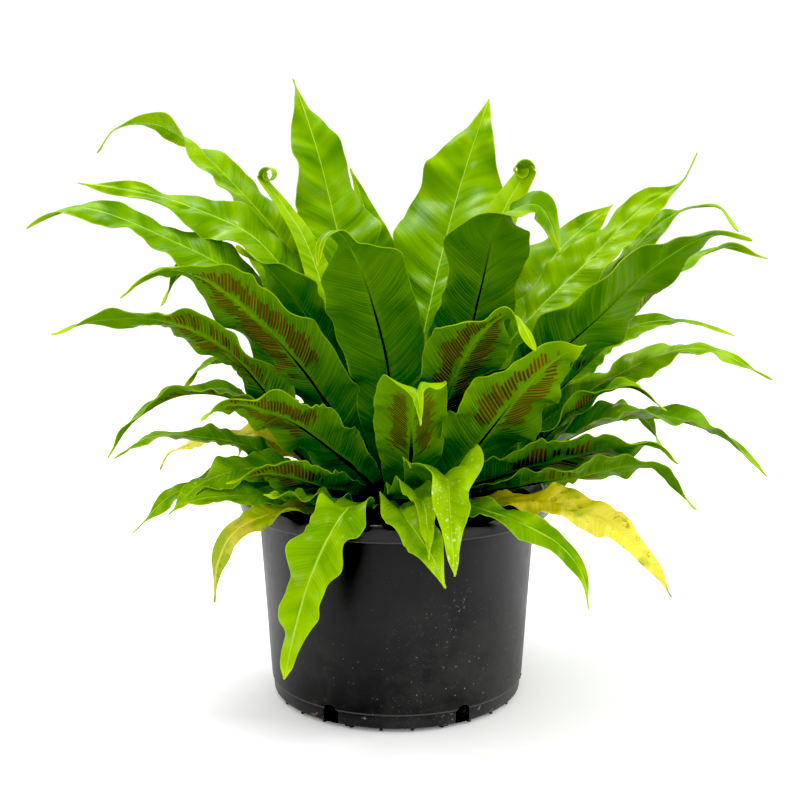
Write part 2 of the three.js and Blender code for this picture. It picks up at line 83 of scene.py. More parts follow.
def aimed(place, target):
    turn = (Vector(target) - Vector(place)).to_track_quat("-Z", "Y")
    return Matrix.Translation(place) @ turn.to_matrix().to_4x4()


def buildCamera():
    view = bpy.data.cameras.new("camera")
    view.lens = studio["lens"]
    view.sensor_width = studio["sensor"]
    view.clip_end = studio["farClip"]
    rig = placed("camera", view)
    rig.location = studio["eye"]
    rig.rotation_euler = (math.radians(90 - studio["lookDown"]), 0, 0)
    bpy.context.scene.camera = rig


def buildLights():
    for lamp in studio["lamps"]:
        light = bpy.data.lights.new(lamp["name"], "AREA")
        light.size = lamp["size"]
        light.energy = lamp["power"]
        placed(lamp["name"], light).matrix_world = aimed(lamp["at"], lamp["aim"])
    print("lamps:", len(studio["lamps"]))


def buildSky():
    world = bpy.data.worlds.new("softbox")
    world.use_nodes = True
    sky = world.node_tree.nodes["Background"]
    sky.inputs["Color"].default_value = studio["skyTone"]
    sky.inputs["Strength"].default_value = studio["skyPower"]
    bpy.context.scene.world = world
    tones = bpy.context.scene.view_settings
    tones.view_transform = "Standard"
    tones.use_curve_mapping = True
    tones.curve_mapping.black_level = [studio["blackPoint"]] * 3
    tones.curve_mapping.update()


# Materials are written as maths on sockets
class wire:  # one output of a node
    def __init__(self, finish, socket):
        self.finish = finish
        self.socket = socket

    def math(self, operation, *others):
        return self.finish.node("ShaderNodeMath", dict(operation=operation), [self, *others])

    def __add__(self, other):
        return self.math("ADD", other)

    __radd__ = __add__

    def __mul__(self, other):
        return self.math("MULTIPLY", other)

    __rmul__ = __mul__

    def __sub__(self, other):
        return self.math("SUBTRACT", other)

    def __rsub__(self, other):
        return self.finish.node("ShaderNodeMath", dict(operation="SUBTRACT"), [other, self])

    def __truediv__(self, other):
        return self.math("DIVIDE", other)

    def __abs__(self):
        return self.math("ABSOLUTE")

    def over(self, low, high):  # 0 below low, 1 above high, smooth between
        settings = dict(interpolation_type="SMOOTHSTEP")
        return self.finish.node("ShaderNodeMapRange", settings, [self, low, high, 0.0, 1.0])

    def under(self, low, high):
        return 1 - self.over(low, high)


class finish:  # one material
    def __init__(self, name):
        self.material = bpy.data.materials.new(name)
        self.material.use_nodes = True
        self.tree = self.material.node_tree
        self.tree.nodes.clear()

    def node(self, kind, settings=None, inputs=(), output=0):
        made = self.tree.nodes.new(kind)
        for key, value in (settings or {}).items():
            setattr(made, key, value)
        pairs = inputs.items() if isinstance(inputs, dict) else enumerate(inputs)
        for key, value in pairs:
            if isinstance(value, wire):
                self.tree.links.new(value.socket, made.inputs[key])
            else:
                made.inputs[key].default_value = value
        return wire(self, made.outputs[output]) if made.outputs else None

    def apart(self, packed):
        made = self.node("ShaderNodeSeparateXYZ", None, [packed])
        return [wire(self, socket) for socket in made.socket.node.outputs]

    def attribute(self, name):  # three numbers that the mesh carries
        return self.apart(self.node("ShaderNodeAttribute", dict(attribute_name=name), (), "Vector"))

    def objectPlace(self):
        return self.node("ShaderNodeTexCoord", None, (), "Object")

    def joined(self, x, y, z):
        return self.node("ShaderNodeCombineXYZ", None, [x, y, z])

    def grain(self, place, scale, detail=2.0, rough=0.5):
        inputs = {"Vector": place, "Scale": scale, "Detail": detail, "Roughness": rough}
        return self.node("ShaderNodeTexNoise", None, inputs)

    def cells(self, place, scale, output="Distance"):
        return self.node("ShaderNodeTexVoronoi", None, {"Vector": place, "Scale": scale}, output)

    def spots(self, place, scale, size, share):  # round spots in a share of the cells
        tint = self.cells(place, scale, "Color")
        pick = self.node("ShaderNodeSeparateColor", None, [tint])
        return self.cells(place, scale).under(size * 0.5, size) * pick.under(share - 0.01, share + 0.01)

    def dice(self, place):  # one random number for each place
        return self.node("ShaderNodeTexWhiteNoise", None, {"Vector": place})

    def blend(self, amount, first, second):  # the node's colour sockets are numbers 6, 7 and 2
        return self.node("ShaderNodeMix", dict(data_type="RGBA"), {0: amount, 6: first, 7: second}, 2)

    def bump(self, height, distance, strength):
        inputs = {"Strength": strength, "Distance": distance, "Height": height}
        return self.node("ShaderNodeBump", None, inputs)

    def coats(self, color, tones, layers):  # each layer is its strength and the name of its tone
        for amount, tone in layers:
            color = self.blend(amount, color, tones[tone])
        return color

    def surface(self, constants, **links):
        names = dict(color="Base Color", roughness="Roughness", coat="Coat Weight", glow="Emission Color",
                     normal="Normal")
        inputs = {names[key]: value for key, value in links.items()}
        shader = self.node("ShaderNodeBsdfPrincipled", None, {**constants, **inputs})
        self.node("ShaderNodeOutputMaterial", None, {"Surface": shader})
        return self.material


def finished(name, bm, material, sharpAngle):
    mesh = meshOf(name, bm)
    mesh.materials.append(material)
    mesh.shade_smooth()
    mesh.set_sharp_from_angle(angle=math.radians(sharpAngle))
    piece = placed(name, mesh)
    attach(piece, "root")
    return piece


def smooth(x):  # from 0 to 1 without corners
    c = min(max(x, 0.0), 1.0)
    return c * c * (3 - 2 * c)


# The crown's dome stands first, because every frond is rooted in it
crown = dict(
    radius=66,  # millimetres, as everything below that names no unit
    height=30,
    foot=184.3,
    rootDepth=8,  # how deep a frond starts below the dome
    steps=96,
    rows=18,
    lumps=2.0,
    lumpSize=7,
    scales=620,
    scaleLength=(6, 13),
    scaleWidth=(1.2, 2.6),
    scaleFlatness=0.35,
    scaleLean=(10, 75),  # degrees from upright
    scaleSpread=(0.01, 0.93),  # from the middle out, as shares of the dome's area
    scaleSink=2.5,
    sharp=60,  # degrees from which an edge stays sharp
)


def crownTop(r):
    return crown["foot"] + crown["height"] * math.sqrt(max(0.0, 1 - (r / crown["radius"]) ** 2))


# A frond is one blade on a spine, worked out in shares: t along it, u from margin to margin
blade = dict(
    rows=124,  # steps along a frond
    coilRows=170,
    columns=24,  # steps across it
    crowding=1.7,  # how much closer the columns stand at the midrib
    halfThickness=0.4,
    ribUnder=(2.4, 0.3),  # height of the midrib below, at root and tip
    ribUnderReach=(1.9, 0.7),  # how far it spreads
    ribOver=(0.7, 0.25),
    ribOverReach=(1.5, 0.6),
    stalk=0.32,  # width of the stalk, as a share of the blade's
    tipHalfWidth=0.7,
    widening=0.5,
    foldReach=0.1,  # share of the length over which a folded tip narrows
    coilNarrowing=0.75,
    coilStalk=0.25,
    coilSteps=12,
    coilTightening=0.5,
    coilRowsEarly=(0.45, 0.82),  # this share of the rows covers that share of the length
    arch=0.12,
    ruffleOffset=0.35,  # how far one margin's big ruffles run ahead of the other's
    ruffleGain=1.35,  # how much higher they stand than on the solid
    phaseStep=0.37,  # and how far a frond's run ahead of the last frond's
    easeIn=(0.1, 0.3),  # where they begin along the blade, and over what share they grow
    easeOut=0.3,
    crinkle=(2.2, 9.0),  # height and number of the small ones along the margin
    crinkleFull=24,  # half width at which they have their full height
    crinkleWander=1.7,
    crinkleStep=0.21,
    quilting=(6.5, 21.0, 0.51),  # height, length and slant of the bulges between veins
    quiltingFull=20,
    nibbles=12,  # how often the margin runs in and out
    seedStep=0.173,  # sets the finishes of two fronds apart
    sharp=50,
)

plain = dict(  # what a frond has unless its row says otherwise
    kind="live",
    widest=0.52,  # share of the length where it is widest
    taper=1.4,
    roll=(0, 0),  # degrees, at even steps along it, as the cup's
    cup=(22, 4),
    wave=7,  # height of the big ruffles, and their number
    waves=4.3,
    ruffle=0.8,  # how much of them shows
    nibble=0.14,  # how far the margin runs in and out
    tone=0.0,  # deep green below 0, yellow-green above
    underside=1.0,  # how much the lower skin differs from the upper one
    dust=0.0,
    sori=(0.46, 0.74, 0.6),  # from and to as shares of the length, and how dense
    pitch=3.2,  # from one stroke of them to the next
)
noSori = (2, 2, 0)  # past the tip
# at: distance from the middle, and degrees round it. via: the spine's points. face: degrees it is turned to.
# fold: where the tip folds over, and the share of its width left there. coil: radius and turns of a curl
fronds = [
    # left side, seen from the front, from the top down
    dict(at=(22, 144), face=154, width=70, taper=1.9, roll=(0, -12, -20, -20, 30, 50), wave=10, waves=4.6,
         tone=0.5, underside=0.3, ruffle=1.0,
         via=[(-93, 90, 391), (-170, 115, 489), (-232, 122, 539), (-281, 130, 539), (-304, 135, 514)]),
    dict(at=(22, 180), face=162, width=60, roll=(0, -22, -35), wave=8, tone=0.2, ruffle=1.0,
         via=[(-76, 40, 343), (-130, 50, 426), (-195, 60, 460), (-249, 66, 476), (-310, 70, 485)]),
    dict(at=(34, 169), face=172, width=64, roll=(0, -18, -28), tone=-0.1, ruffle=1.0,
         via=[(-92, 14, 326), (-154, 24, 398), (-219, 25, 434), (-280, 25, 459), (-317, 25, 460),
              (-350, 25, 443)]),
    dict(at=(34, 146), face=152, width=46, roll=(-10, 0),
         via=[(-90, 62, 290), (-160, 90, 385), (-205, 98, 410), (-238, 100, 362)]),
    dict(at=(9, 226), face=208, width=81, roll=(35, 22), wave=10, sori=noSori, tone=-0.2, ruffle=1.0,
         via=[(-48, -24, 314), (-89, -42, 380), (-120, -50, 416), (-143, -54, 432)]),
    dict(at=(22, 216), width=78, roll=(30, 32, 10), sori=(0.42, 0.80, 0.9), tone=0.1,
         via=[(-83, -60, 320), (-150, -82, 393), (-200, -95, 414), (-238, -102, 390)]),
    dict(at=(34, 193), face=197, width=54, roll=(35, 30), sori=(0.42, 0.72, 0.7), tone=0.1,
         via=[(-92, -32, 262), (-150, -46, 333), (-207, -58, 365), (-265, -62, 366), (-308, -65, 354)]),
    dict(at=(46, 158), width=42, roll=(-10, 0),
         via=[(-90, 36, 248), (-150, 52, 305), (-190, 60, 308), (-210, 60, 285)]),
    dict(at=(46, 186), face=188, width=56, roll=(5, 2), cup=(24, 20), wave=4, sori=(0.48, 0.78, 0.8),
         via=[(-90, -4, 230), (-142, -18, 283), (-196, -27, 293), (-242, -33, 270), (-268, -35, 235)]),
    dict(at=(34, 236), face=228, width=62, roll=(35, 35), wave=7, waves=5, sori=(0.50, 0.88, 0.9),
         tone=0.2,
         via=[(-45, -58, 236), (-95, -100, 283), (-140, -130, 302), (-165, -145, 291)]),
    dict(at=(58, 178), face=180, width=40, roll=(-8, -8), wave=4,
         via=[(-83, -2, 208), (-139, -6, 238), (-186, -10, 249), (-233, -12, 249), (-267, -12, 229)]),
    dict(at=(58, 163), face=165, width=34, roll=(-10, -10), wave=4, kind="old",
         via=[(-77, 26, 209), (-132, 38, 240), (-189, 48, 234), (-224, 56, 221), (-237, 60, 202)]),
    dict(at=(46, 206), width=54, roll=(-8, -15), wave=5, tone=0.2, dust=0.4,
         via=[(-85, -38, 220), (-129, -58, 230), (-173, -75, 221), (-204, -90, 195)]),
    dict(at=(58, 193), width=46, roll=(-15, -18), wave=4,
         via=[(-91, -22, 207), (-155, -34, 210), (-205, -45, 203), (-244, -50, 167)]),
    dict(at=(46, 228), width=52, roll=(30, 32), wave=4, sori=(0.45, 0.88, 0.9), tone=0.1, pitch=3.6,
         via=[(-65, -82, 218), (-110, -114, 238), (-146, -135, 234)]),
    dict(at=(58, 209), face=212, width=44, roll=(-10, -15), wave=4,
         via=[(-80, -55, 195), (-121, -76, 208), (-159, -92, 212), (-192, -100, 207)]),
    dict(at=(58, 226), face=228, width=26, roll=(0, -20), wave=4, kind="old", tone=-2.2,
         via=[(-65, -80, 198), (-98, -114, 205), (-135, -136, 195), (-154, -136, 165), (-159, -130, 126)]),
    dict(at=(58, 256), face=252, width=44, taper=1, wave=6, waves=5.2, tone=0.7, nibble=0.45, ruffle=1.4,
         via=[(-35, -105, 206), (-45, -146, 210), (-63, -168, 183), (-80, -174, 138), (-96, -170, 71)]),
    # middle
    dict(at=(22, 108), face=115, width=78, roll=(10, 5), widest=0.62, taper=1.2, wave=9, tone=-0.25,
         nibble=0.30, ruffle=1.3,
         via=[(-36, 60, 342), (-61, 112, 439), (-82, 146, 517), (-107, 165, 589)]),
    dict(at=(22, 72), face=95, width=60, tone=-0.2,
         via=[(1, 86, 324), (-20, 138, 403), (-35, 162, 461), (-49, 174, 498)]),
    dict(at=(9, 100), face=65, width=106, roll=(0, 10), widest=0.6, taper=1.2, wave=10, tone=-0.1,
         nibble=0.26, ruffle=1.3,
         via=[(27, 52, 343), (50, 102, 433), (71, 136, 502), (94, 155, 568)]),
    dict(at=(34, 64), width=56, via=[(50, 78, 312), (83, 130, 381), (106, 156, 441)]),
    dict(at=(9, 160), width=36, roll=(-40, -35, -20, 0), coil=(8, 1.2), tone=0.9, underside=0.2,
         via=[(-58, 24, 347), (-87, 62, 424), (-111, 84, 461), (-132, 97, 487)]),
    dict(at=(9, 345), face=20, width=58, roll=(60, 55, 45, 15), coil=(7, 1.15), tone=0.9, underside=0.2,
         via=[(61, 15, 348), (87, 34, 426), (105, 45, 464), (123, 50, 494)]),
    dict(at=(22, 252), face=266, width=80, roll=(0, 5), widest=0.6, taper=0.8, fold=(0.77, 0.3),
         sori=noSori, tone=-0.4, nibble=0.22, ruffle=1.0,
         via=[(-6, -66, 310), (-22, -88, 387), (-37, -104, 429), (-50, -119, 448), (-62, -131, 441),
              (-66, -135, 420)]),
    dict(at=(22, 306), face=325, width=82, roll=(-20, -26, -30, -32, -34, 20, 55), widest=0.72, taper=0.8,
         fold=(0.79, 0.4), sori=noSori, tone=-0.2, nibble=0.22, ruffle=1.0,
         via=[(55, -38, 310), (76, -52, 397), (86, -60, 444), (98, -64, 461), (123, -62, 468),
              (137, -58, 450), (145, -55, 426)]),
    dict(at=(34, 295), face=297, width=72, roll=(-14, -14), widest=0.66, taper=0.8, fold=(0.74, 0.32),
         sori=(0.34, 0.80, 1.0), tone=0.4, pitch=2.9,
         via=[(40, -67, 285), (62, -92, 341), (84, -112, 371), (101, -126, 377), (117, -138, 349)]),
    dict(at=(34, 272), face=275, width=76, cup=(20, 26, 34, 30), widest=0.58, taper=0.8, fold=(0.82, 0.2),
         sori=(0.36, 0.70, 1.0), tone=0.8, pitch=2.8,
         via=[(12, -78, 238), (13, -118, 290), (17, -154, 318), (20, -178, 293)]),
    dict(at=(34, 318), face=322, width=94, roll=(-35, -20), widest=0.58, taper=1.1, sori=(0.48, 0.88, 1.0),
         tone=0.6, pitch=4.1,
         via=[(62, -56, 238), (106, -98, 304), (136, -114, 338), (162, -120, 352)]),
    dict(at=(46, 291), face=287, width=72, cup=(22, 38, 14), widest=0.48, taper=1.2, fold=(0.58, 0.6),
         tone=1.3, dust=0.9,
         via=[(33, -88, 221), (43, -138, 239), (45, -176, 212), (48, -196, 170)]),
    dict(at=(46, 263), face=270, width=44, roll=(0, -12), cup=(22, 38, 14), widest=0.48, fold=(0.6, 0.65),
         tone=0.8, dust=0.5,
         via=[(7, -98, 211), (22, -142, 220), (26, -170, 202), (27, -184, 180)]),
    dict(at=(58, 279), face=277, width=46, cup=(22, 30, 8), tone=0.6, dust=0.2,
         via=[(3, -105, 205), (9, -150, 205), (28, -176, 184), (41, -184, 156)]),
    dict(at=(34, 42), width=90, roll=(10, 20), taper=1.1, wave=8, tone=0.3,
         via=[(80, 73, 283), (132, 126, 363), (169, 155, 414), (227, 180, 460)]),
    # right side
    dict(at=(22, 36), face=22, width=56, roll=(30, 28), taper=1, fold=(0.88, 0.3), wave=8, tone=0.6,
         via=[(112, 58, 332), (193, 86, 411), (243, 92, 460), (279, 91, 483), (295, 90, 514)]),
    dict(at=(34, 23), width=44, roll=(10, 10), tone=0.1,
         via=[(135, 60, 290), (209, 93, 385), (266, 108, 445), (318, 112, 463), (343, 108, 436)]),
    dict(at=(22, 353), face=342, width=90, roll=(-25, -38), wave=8, sori=noSori, tone=-0.6,
         via=[(108, -44, 300), (172, -85, 367), (220, -96, 415), (265, -108, 444), (302, -112, 440)]),
    dict(at=(34, 4), face=356, width=58, roll=(-10, -5),
         via=[(121, -2, 266), (200, -4, 341), (253, -20, 402), (299, -27, 429), (337, -30, 419)]),
    dict(at=(46, 14), face=15, width=46, roll=(18, 16), wave=4, tone=0.1,
         via=[(120, 38, 250), (215, 65, 336), (285, 72, 350), (335, 75, 335)]),
    dict(at=(46, 357), face=0, width=58, roll=(12, 14), wave=5, tone=0.3,
         via=[(110, 4, 240), (210, 6, 306), (285, 7, 331), (356, 3, 302)]),
    dict(at=(46, 339), face=345, width=46, roll=(-5, 0), cup=(26, 22), wave=4, sori=(0.45, 0.9, 1.0),
         via=[(108, -33, 231), (172, -48, 289), (211, -54, 304), (245, -58, 283)]),
    dict(at=(58, 352), face=354, width=66, roll=(0, 4), cup=(26, 20), wave=5, sori=(0.40, 0.75, 0.6),
         tone=0.1,
         via=[(118, -20, 226), (187, -38, 267), (245, -48, 274), (298, -60, 258), (335, -70, 225)]),
    dict(at=(46, 321), face=328, width=68, roll=(-18, -34, -25), wave=4, sori=(0.35, 0.7, 0.7), tone=0.1,
         pitch=4.6,
         via=[(100, -62, 226), (178, -106, 257), (220, -130, 266), (240, -140, 252)]),
    dict(at=(58, 337), face=335, width=52, roll=(-18, -34), wave=4, sori=(0.35, 0.6, 0.3), tone=0.1,
         via=[(95, -58, 211), (160, -98, 232), (220, -125, 247), (256, -146, 213)]),
    dict(at=(58, 323), face=318, width=38, roll=(10, 30), wave=5, kind="old",
         via=[(82, -80, 203), (136, -120, 213), (180, -160, 204), (210, -190, 180), (225, -205, 155)]),
    dict(at=(58, 304), face=305, width=26, roll=(10, 25), wave=4, tone=0.3,
         via=[(57, -97, 205), (90, -138, 206), (136, -145, 185), (160, -145, 155), (166, -146, 125)]),
    # far side
    dict(at=(46, 32), face=15, width=48,
         via=[(110, 35, 218), (165, 48, 250), (215, 58, 262), (250, 70, 250), (270, 82, 215)]),
    dict(at=(58, 44), width=52, via=[(85, 85, 212), (125, 125, 234), (160, 160, 225), (180, 185, 185)]),
    dict(at=(58, 72), width=52, via=[(32, 120, 212), (44, 170, 230), (54, 215, 215), (62, 245, 175)]),
    dict(at=(58, 102), width=52, via=[(-32, 122, 212), (-48, 172, 230), (-60, 215, 215), (-70, 240, 178)]),
    dict(at=(58, 134), width=52, via=[(-85, 90, 212), (-125, 132, 234), (-155, 165, 222), (-175, 190, 185)]),
    dict(at=(46, 62), width=60, via=[(60, 98, 250), (100, 168, 315), (130, 220, 345), (155, 265, 335)]),
    dict(at=(46, 90), width=60, via=[(0, 115, 252), (0, 190, 320), (-2, 250, 345), (-5, 290, 330)]),
    dict(at=(46, 118), width=60, via=[(-58, 102, 250), (-98, 168, 315), (-125, 215, 340), (-150, 255, 325)]),
    dict(at=(34, 79), face=76, width=64, via=[(24, 98, 285), (42, 168, 370), (58, 218, 420), (68, 252, 432)]),
    dict(at=(34, 102), face=106, width=64,
         via=[(-28, 100, 285), (-48, 168, 370), (-66, 212, 415), (-80, 244, 425)]),
    dict(at=(58, 241), face=234, width=24, via=[(-56, -90, 209), (-88, -116, 218), (-114, -134, 224)]),
]


class spine:  # a smooth curve through points, walked evenly by its length
    steps = 200

    def __init__(self, points):
        self.points = points
        self.marks = [0.0]
        before = self.at(0.0)
        for i in range(self.steps):
            after = self.at((i + 1) / self.steps)
            self.marks.append(self.marks[-1] + (after - before).length)
            before = after

    def at(self, share):
        last = len(self.points) - 1
        place = min(max(share, 0.0), 1.0) * last
        i = min(int(place), last - 1)
        f = place - i
        b, c = self.points[i], self.points[i + 1]
        a = self.points[i - 1] if i > 0 else 2 * b - c
        d = self.points[i + 2] if i + 2 <= last else 2 * c - b
        leave, arrive = (c - a) / 2, (d - b) / 2
        return ((2 * f - 3) * f * f + 1) * b + ((f - 2) * f + 1) * f * leave + (3 - 2 * f) * f * f * c \
            + (f - 1) * f * f * arrive

    def share(self, t):  # from a share of the length to a share of the points
        goal = t * self.marks[-1]
        low = bisect.bisect_right(self.marks, goal, 0, self.steps) - 1
        gap = self.marks[low + 1] - self.marks[low]
        return (low + (goal - self.marks[low]) / gap) / self.steps

    def walk(self, t):
        share = self.share(t)
        ahead = self.at(min(1.0, share + 1e-4)) - self.at(max(0.0, share - 1e-4))
        return self.at(share), ahead.normalized()


def spineOf(frond):
    ring, azimuth = frond["at"]
    points = [polar(ring, math.radians(azimuth), crownTop(ring) - crown["rootDepth"])]
    points += [Vector(p) for p in frond["via"]]
    if "coil" in frond:
        radius, turns = frond["coil"]
        end = points[-1]
        forward = (end - points[-2]).normalized()
        face = math.radians(frond["face"])
        inward = forward.cross(Vector((-math.sin(face), math.cos(face), 0))).normalized()
        for i in range(1, blade["coilSteps"] + 1):
            angle = math.tau * turns * i / blade["coilSteps"]
            r = radius * (1 - blade["coilTightening"] * i / blade["coilSteps"])
            points.append(end + inward * (radius - r * math.cos(angle)) + forward * r * math.sin(angle))
    return spine(points)


def halfWidth(frond, t):
    widest = frond["widest"]
    rise = blade["stalk"] + (1 - blade["stalk"]) * smooth(t / widest) ** blade["widening"]
    s = min(max((t - widest) / (1 - widest), 0.0), 1.0)
    if "coil" in frond:
        fall, least = 1 - blade["coilNarrowing"] * s, blade["coilStalk"]
    else:
        fall, least = (1 - s * s) ** frond["taper"], blade["stalk"]
    if "fold" in frond:
        bend, left = frond["fold"]
        fall *= 1 - (1 - left) * smooth((t - bend) / blade["foldReach"] + 0.5)
    return max(blade["tipHalfWidth"], frond["width"] / 2 * max(rise, least) * fall)


def between(given, t):  # from values that stand at even steps along the blade
    place = t * (len(given) - 1)
    i = min(int(place), len(given) - 2)
    return given[i] + (given[i + 1] - given[i]) * (place - i)


def stationOf(frond, t):  # centre, side, up and half width at a share of the length
    centre, ahead = frond["spine"].walk(t)
    a = math.radians(frond["face"])
    side = Vector((-math.sin(a), math.cos(a), 0))
    side = (side - ahead * side.dot(ahead)).normalized()
    turn = Matrix.Rotation(math.radians(between(frond["roll"], t)), 3, ahead)
    return centre, turn @ side, turn @ ahead.cross(side), halfWidth(frond, t)


def bladePoint(frond, station, t, u):  # factors on hand and number set margins and fronds apart
    centre, side, up, half = station
    number = frond["number"]
    hand = 1 if u > 0 else -1
    cup = math.radians(between(frond["cup"], t))
    lift = half * (math.sin(cup) * abs(u) - blade["arch"] * u * u)
    if "coil" in frond:  # a curled blade has no waves
        return centre + side * (half * u * math.cos(cup)) + up * lift
    start, growth = blade["easeIn"]
    ease = smooth((t - start) / growth) * (1 - t) ** blade["easeOut"]
    height = blade["ruffleGain"] * frond["ruffle"] * frond["wave"]
    turn = frond["waves"] * t + (number - 1) * blade["phaseStep"] + (blade["ruffleOffset"] if u > 0 else 0)
    lift += height * ease * u * u * math.sin(math.tau * turn)
    height, count = blade["crinkle"]
    height *= smooth(half / blade["crinkleFull"])
    turn = count * t + blade["crinkleStep"] * number * hand
    turn += blade["crinkleWander"] * noise.noise(Vector((t * 7, hand * 3.1, number)))
    lift += height * ease * abs(u) ** 5 * math.sin(math.tau * turn)
    height, length, slant = blade["quilting"]
    height *= smooth(abs(u) * 4) * smooth(half / blade["quiltingFull"])
    along = (t * frond["spine"].marks[-1] - slant * abs(u) * half) / length
    lift += height * noise.noise(Vector((along, u * 1.2, number * 5.3)))
    uneven = noise.noise(Vector((t * blade["nibbles"], hand * 7.7, number * 1.9)))
    out = 1 + frond["nibble"] * ease * abs(u) ** 3 * uneven
    return centre + side * (half * u * out * math.cos(cup)) + up * lift


def placeBlade(frond, rows):  # the blade's middle surface, and where its rows and columns stand
    columns = blade["columns"]
    shares = [i / rows for i in range(rows + 1)]
    if "coil" in frond:
        part, done = blade["coilRowsEarly"]
        rest = (1 - done) / (1 - part)
        shares = [t / part * done if t < part else done + rest * (t - part) for t in shares]
    spread = []
    for j in range(columns + 1):
        y = 2 * j / columns - 1
        spread.append(math.copysign(abs(y) ** blade["crowding"], y))
    stations = [stationOf(frond, t) for t in shares]
    grid = [[bladePoint(frond, station, t, u) for u in spread] for station, t in zip(stations, shares)]
    return shares, spread, stations, grid


def gridNormal(grid, i, j):
    ahead = grid[min(i + 1, len(grid) - 1)][j] - grid[max(i - 1, 0)][j]
    across = grid[i][min(j + 1, len(grid[0]) - 1)] - grid[i][max(j - 1, 0)]
    return ahead.cross(across).normalized()


def ramp(pair, t):  # from the root's value to the tip's
    return pair[0] + (pair[1] - pair[0]) * smooth(t * 1.2)


def buildFrond(frond, finishes):  # a solid grid, laid over the blade's surface
    rows = blade["coilRows"] if "coil" in frond else blade["rows"]
    columns = blade["columns"]
    shares, spread, stations, grid = placeBlade(frond, rows)
    length = frond["spine"].marks[-1]
    bm = bmesh.new()
    bmesh.ops.create_grid(bm, x_segments=rows, y_segments=columns, size=1)
    bmesh.ops.solidify(bm, geom=bm.faces[:], thickness=0.01)
    middle = sum(v.co.z for v in bm.verts) / len(bm.verts)  # parts its lower skin from its upper one
    names = ("bladePlace", "bladeShare", "bladeTone", "bladeSori")
    for name in names:
        bm.verts.layers.float_vector.new(name)
    place, share, tone, span = [bm.verts.layers.float_vector[name] for name in names]
    for vert in bm.verts:
        i = round((vert.co.x + 1) / 2 * rows)
        j = round((vert.co.y + 1) / 2 * columns)
        t, u, half = shares[i], spread[j], stations[i][3]
        under = vert.co.z < middle
        off = u * half
        rib = "ribUnder" if under else "ribOver"
        rise = ramp(blade[rib], t) * math.exp(-(off / ramp(blade[rib + "Reach"], t)) ** 2)
        shift = (blade["halfThickness"] + rise) * (-1 if under else 1)
        vert.co = (grid[i][j] + gridNormal(grid, i, j) * shift) * mm
        vert[place] = (t * length * mm, off * mm, half * (1 - abs(u)) * mm)
        vert[share] = (t, frond["underside"] if under else 0.0, frond["number"] * blade["seedStep"])
        vert[tone] = (frond["tone"], frond["dust"], frond["pitch"] * mm)
        vert[span] = frond["sori"]
    bmesh.ops.recalc_face_normals(bm, faces=bm.faces)
    piece = finished(f"blade_{frond['number']:02d}", bm, finishes[frond["kind"]], blade["sharp"])
    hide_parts(f"frond_{frond['number']:02d}")
    "old_frond" if frond["kind"] == "old" else "frond"


# Tones named under, and the sori, belong to the lower skin. Its greens are set darker than the upper skin's
# as painted shade
leafTones = dict(
    deep=(0.036, 0.118, 0.002, 1),
    middle=(0.104, 0.240, 0.002, 1),
    pale=(0.250, 0.410, 0.008, 1),
    underDeepShaded=(0.030, 0.096, 0.001, 1),
    underMiddleShaded=(0.085, 0.182, 0.001, 1),
    underLine=(0.012, 0.045, 0.0005, 1),
    margin=(0.340, 0.480, 0.012, 1),
    ribOver=(0.380, 0.560, 0.080, 1),
    ribUnderDark=(0.016, 0.011, 0.003, 1),
    ribUnderGreen=(0.110, 0.230, 0.010, 1),
    sori=(0.105, 0.038, 0.003, 1),
    soriOld=(0.055, 0.024, 0.002, 1),
    stalk=(0.030, 0.022, 0.008, 1),
    dust=(0.62, 0.70, 0.42, 1),
)

oldTones = dict(
    yellow=(0.640, 0.570, 0.035, 1),
    lemon=(0.800, 0.740, 0.150, 1),
    olive=(0.300, 0.270, 0.008, 1),
    green=(0.170, 0.310, 0.010, 1),
    brown=(0.210, 0.110, 0.020, 1),
    rib=(0.620, 0.580, 0.070, 1),
    stalk=leafTones["stalk"],
)

# Side veins leave the midrib at a slant and bow toward the tip. Their widths and pitch are in metres.
veins = dict(slant=0.58, bow=3.2, fine=0.0019, wide=0.0075, band=0.021, pitch=0.0029)


def veinLines(skin, along, off, seed):  # the same streaks serve colour and relief
    reach = abs(off)
    root = along - reach * veins["slant"] - reach * reach * veins["bow"]  # where its vein leaves the midrib
    hand = off.over(-0.0001, 0.0001)
    fineAt = skin.joined(root / veins["fine"], reach * 28, seed * 7 + hand * 3)
    wideAt = skin.joined(root / veins["wide"], reach * 14, seed * 5 + hand * 9)
    fine = skin.grain(fineAt, 1.0, 1.0, 0.4)
    wide = skin.grain(wideAt, 1.0, 1.5, 0.45)
    return reach, root, hand, fine, wide


def leafSori(skin, root, hand, seed, t, share):  # rusty strokes along the veins of the lower skin
    pitch = skin.attribute("bladeTone")[2]
    first, last, much = skin.attribute("bladeSori")
    line = root / pitch
    cell = line.math("FLOOR")
    dice = skin.dice(skin.joined(cell, hand * 5, seed * 11))
    other = skin.dice(skin.joined(cell, hand * 5 + 40, seed * 11))
    stripe = abs(line.math("FRACT") - 0.5).under(0.23, 0.37)
    inner = (share - dice * 0.14).over(0.04, 0.08)
    outer = (share + other * 0.24).under(0.66, 0.72)
    starts = (t + (other - 0.5) * 0.05 - first).over(-0.01, 0.01)
    ends = (last - t + (dice - 0.5) * 0.05).over(-0.01, 0.01)
    kept = (much - dice * 0.9).over(-0.02, 0.02)
    strokes = stripe * inner * outer * starts * ends * kept
    return strokes, skin.blend(other, leafTones["sori"], leafTones["soriOld"])


